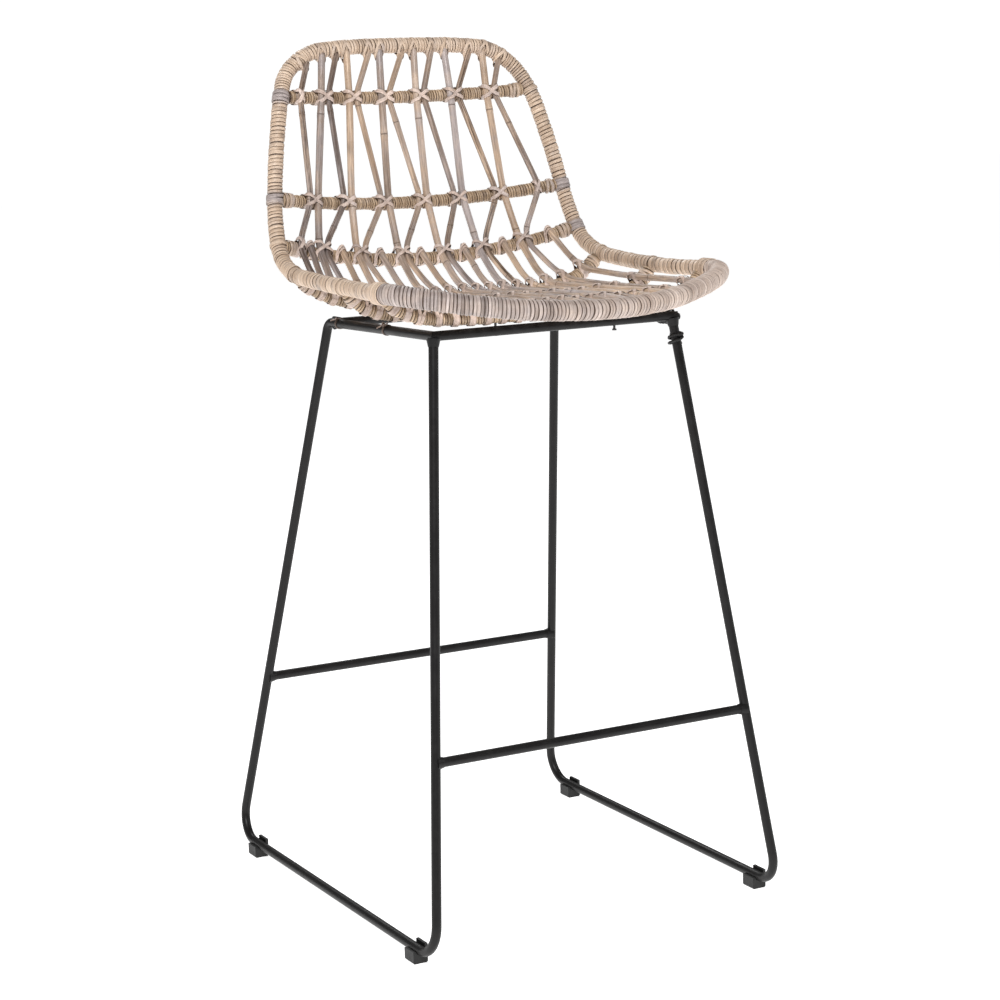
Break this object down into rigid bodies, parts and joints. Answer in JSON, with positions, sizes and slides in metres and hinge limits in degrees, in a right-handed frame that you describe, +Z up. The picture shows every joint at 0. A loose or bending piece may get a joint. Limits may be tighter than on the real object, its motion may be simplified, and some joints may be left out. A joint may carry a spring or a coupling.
{
  "type": "bar stool with footrest",
  "caption": "Bar-height stool with a bucket seat of woven rattan canes and wrapped rods, lashed to a black round-bar sled frame with foot rails and clip-on glides.",
  "frame": {"origin": "on the floor, under the middle of the bounding box", "axes": "+Z up, the sitter faces -Y, +X is the left-hand side of the sitter and runs across the stool"},
  "size_m": [0.471, 0.5385, 0.999],
  "materials": {
    "powder_coat": "satin black powder coat",
    "glide_plastic": "matt black moulded plastic",
    "tie_cord": "black plastic cord",
    "screw_steel": "black screw finish",
    "hoop_binding": "bound in tan rattan skin, satin",
    "front_binding": "bound in pinkish grey rattan skin, satin",
    "rail_binding": "bound in tan olive rattan skin, satin",
    "lashing_strip": "pale pinkish rattan strip",
    "cane_honey": "peeled cane, honey brown, satin",
    "cane_grey": "peeled cane, grey brown, satin",
    "cane_lilac": "peeled cane, pale lilac grey, satin"
  },
  "bodies": {
    "root": {"back_hoop": "hoop_binding", "corner_tie": "tie_cord", "frame_lashings": "lashing_strip", "front_foot_rail": "powder_coat", "front_rim": "front_binding", "front_seat_lashings": "lashing_strip", "front_seat_rail": "rail_binding", "front_top_rail": "powder_coat", "glide_front_left": "glide_plastic", "glide_front_right": "glide_plastic", "glide_rear_left": "glide_plastic", "glide_rear_right": "glide_plastic", "left_side_bar": "powder_coat", "leg_tie": "tie_cord", "lower_back_rail": "rail_binding", "lower_lashings": "lashing_strip", "middle_back_rail": "rail_binding", "middle_lashings": "lashing_strip", "middle_seat_lashings": "lashing_strip", "middle_seat_rail": "rail_binding", "rear_foot_rail": "powder_coat", "rear_seat_lashings": "lashing_strip", "rear_seat_rail": "rail_binding", "rear_top_rail": "powder_coat", "right_side_bar": "powder_coat", "rim_splices": "front_binding", "seat_screws": "screw_steel", "short_cane_1": "cane_grey", "short_cane_2": "cane_grey", "short_cane_3": "cane_grey", "short_cane_4": "cane_grey", "short_cane_5": "cane_grey", "short_cane_6": "cane_grey", "short_cane_7": "cane_grey", "short_cane_hooks": "lashing_strip", "straight_cane_1": "cane_honey", "straight_cane_2": "cane_honey", "straight_cane_3": "cane_honey", "straight_cane_4": "cane_honey", "straight_cane_5": "cane_honey", "straight_cane_6": "cane_honey", "upper_back_rail": "rail_binding", "upper_lashings": "lashing_strip", "weld_beads": "powder_coat", "zigzag_cane_1": "cane_lilac", "zigzag_cane_2": "cane_lilac", "zigzag_cane_3": "cane_lilac", "zigzag_cane_4": "cane_lilac", "zigzag_cane_5": "cane_lilac", "zigzag_cane_6": "cane_lilac", "zigzag_cane_7": "cane_lilac"}
  },
  "joints": []
}
